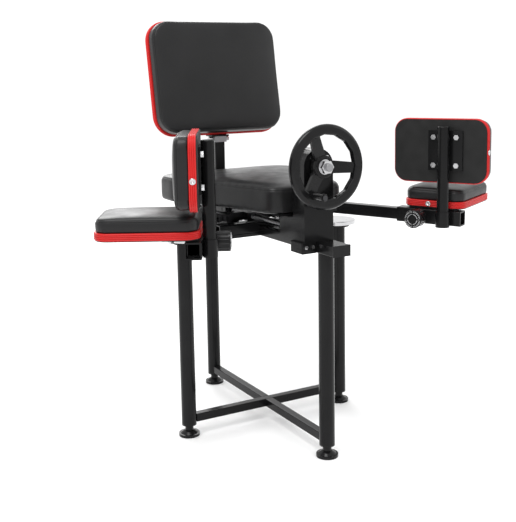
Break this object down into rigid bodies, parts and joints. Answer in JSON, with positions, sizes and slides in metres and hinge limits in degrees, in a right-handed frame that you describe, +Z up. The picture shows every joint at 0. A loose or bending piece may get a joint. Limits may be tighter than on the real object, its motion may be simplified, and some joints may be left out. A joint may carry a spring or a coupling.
{
  "type": "leg stretching machine",
  "caption": "Seated leg stretching machine: padded seat and backrest on a four-leg stand, handwheel drive spreading two swinging arms with sliding leg pads.",
  "frame": {"origin": "on the floor, under the middle of the bounding box", "axes": "+Z up, -Y the way the user faces, +X to the right seen from the front"},
  "size_m": [0.8128, 0.5716, 0.8031],
  "materials": {
    "frame_paint": "semi-gloss",
    "black_plastic": "satin",
    "zinc": "bright",
    "steel": "satin",
    "dark_steel": "satin",
    "bronze": "satin",
    "belt_rubber": "matte",
    "pad_board": "matte",
    "vinyl": "satin"
  },
  "bodies": {
    "stand": {"leg_left": "frame_paint", "leg_right": "frame_paint", "leg_front": "frame_paint", "leg_rear": "frame_paint", "foot_inserts": "black_plastic", "braces": "frame_paint", "deck": "frame_paint", "deck_discs": "zinc", "cross_tube": "frame_paint", "front_beam": "frame_paint", "beam_end_plug": "black_plastic", "pivot_plate": "frame_paint", "pivot_pins": "zinc", "column_housing": "frame_paint", "column_cover": "frame_paint", "screw_box": "frame_paint", "column_lug": "frame_paint", "drive_belt": "belt_rubber", "wheel_flange": "frame_paint", "screw_bushes": "bronze", "rear_screw_block": "frame_paint", "column_screws": "zinc", "seat_board": "pad_board", "seat_cushion": "vinyl", "seat_supports": "frame_paint", "back_post": "frame_paint", "back_clevis": "steel", "back_bracket": "frame_paint", "back_board": "pad_board", "back_cushion": "vinyl", "cushion_bolts": "zinc"},
    "left_arm": {"left_arm_tube": "frame_paint", "left_arm_gear": "dark_steel"},
    "left_carriage": {"left_sleeve": "frame_paint", "left_pad_post": "frame_paint", "left_pad_boards": "pad_board", "left_side_pad": "vinyl", "left_flat_pad": "vinyl", "left_pad_bolts": "zinc"},
    "left_clamp": {"left_knob": "black_plastic"},
    "right_arm": {"right_arm_tube": "frame_paint", "right_arm_gear": "dark_steel"},
    "right_carriage": {"right_sleeve": "frame_paint", "right_pad_post": "frame_paint", "right_pad_boards": "pad_board", "right_side_pad": "vinyl", "right_flat_pad": "vinyl", "right_pad_bolts": "zinc"},
    "right_clamp": {"right_knob": "black_plastic"},
    "rack": {"rack": "dark_steel"},
    "screw": {"lead_screw": "steel"},
    "wheel": {"handwheel": "black_plastic", "wheel_shaft": "steel", "wheel_nut": "zinc", "spinner_pin": "dark_steel"},
    "spinner": {"spinner_grip": "black_plastic"},
    "foot_left": {"foot_left": "black_plastic"},
    "foot_right": {"foot_right": "black_plastic"},
    "foot_front": {"foot_front": "black_plastic"},
    "foot_rear": {"foot_rear": "black_plastic"}
  },
  "joints": [
    {"name": "left_arm_swing", "type": "hinge", "parent": "stand", "child": "left_arm", "pos_m": [-0.0935, 0.09283, 0.423], "axis": [0, 0, -1], "range_deg": [-18, 50]},
    {"name": "right_arm_swing", "type": "hinge", "parent": "stand", "child": "right_arm", "pos_m": [0.0935, 0.09283, 0.423], "axis": [0, 0, 1], "range_deg": [-18, 50]},
    {"name": "rack_slide", "type": "slide", "parent": "stand", "child": "rack", "axis": [0, -1, 0], "range_m": [-0.0096, 0.0263]},
    {"name": "lead_screw_spin", "type": "hinge", "parent": "stand", "child": "screw", "pos_m": [0, 0, 0.406], "axis": [0, 1, 0], "range_deg": [-567, 1572]},
    {"name": "handwheel_spin", "type": "hinge", "parent": "stand", "child": "wheel", "pos_m": [-0.012, -0.21617, 0.53], "axis": [0, 1, 0], "range_deg": [-567, 1572]},
    {"name": "spinner_spin", "type": "hinge", "parent": "wheel", "child": "spinner", "pos_m": [-0.04195, -0.24117, 0.48387], "axis": [0, 1, 0], "continuous": true},
    {"name": "left_pad_slide", "type": "slide", "parent": "left_arm", "child": "left_carriage", "axis": [-0.4832, -0.8753, -0.0175], "range_m": [-0.05, 0.05]},
    {"name": "right_pad_slide", "type": "slide", "parent": "right_arm", "child": "right_carriage", "axis": [0.4832, -0.8753, -0.0175], "range_m": [-0.05, 0.05]},
    {"name": "left_knob_turn", "type": "hinge", "parent": "left_carriage", "child": "left_clamp", "pos_m": [-0.22194, -0.18122, 0.418], "axis": [0.8755, -0.4833, 0], "range_deg": [0, 720]},
    {"name": "right_knob_turn", "type": "hinge", "parent": "right_carriage", "child": "right_clamp", "pos_m": [0.22194, -0.18122, 0.418], "axis": [-0.8755, -0.4833, 0], "range_deg": [0, 720]},
    {"name": "foot_left_turn", "type": "hinge", "parent": "stand", "child": "foot_left", "pos_m": [-0.174, 0.02383, 0.02], "axis": [0, 0, 1], "range_deg": [-360, 360]},
    {"name": "foot_right_turn", "type": "hinge", "parent": "stand", "child": "foot_right", "pos_m": [0.174, 0.02383, 0.02], "axis": [0, 0, 1], "range_deg": [-360, 360]},
    {"name": "foot_front_turn", "type": "hinge", "parent": "stand", "child": "foot_front", "pos_m": [0, -0.19517, 0.02], "axis": [0, 0, 1], "range_deg": [-360, 360]},
    {"name": "foot_rear_turn", "type": "hinge", "parent": "stand", "child": "foot_rear", "pos_m": [0, 0.26583, 0.02], "axis": [0, 0, 1], "range_deg": [-360, 360]}
  ],
  "couplings": [
    {"joint": "right_arm_swing", "follows": "left_arm_swing", "ratio": 1},
    {"joint": "rack_slide", "follows": "left_arm_swing", "m_per_rad": 0.03},
    {"joint": "lead_screw_spin", "follows": "left_arm_swing", "ratio": 31.416},
    {"joint": "handwheel_spin", "follows": "left_arm_swing", "ratio": 31.416}
  ]
}
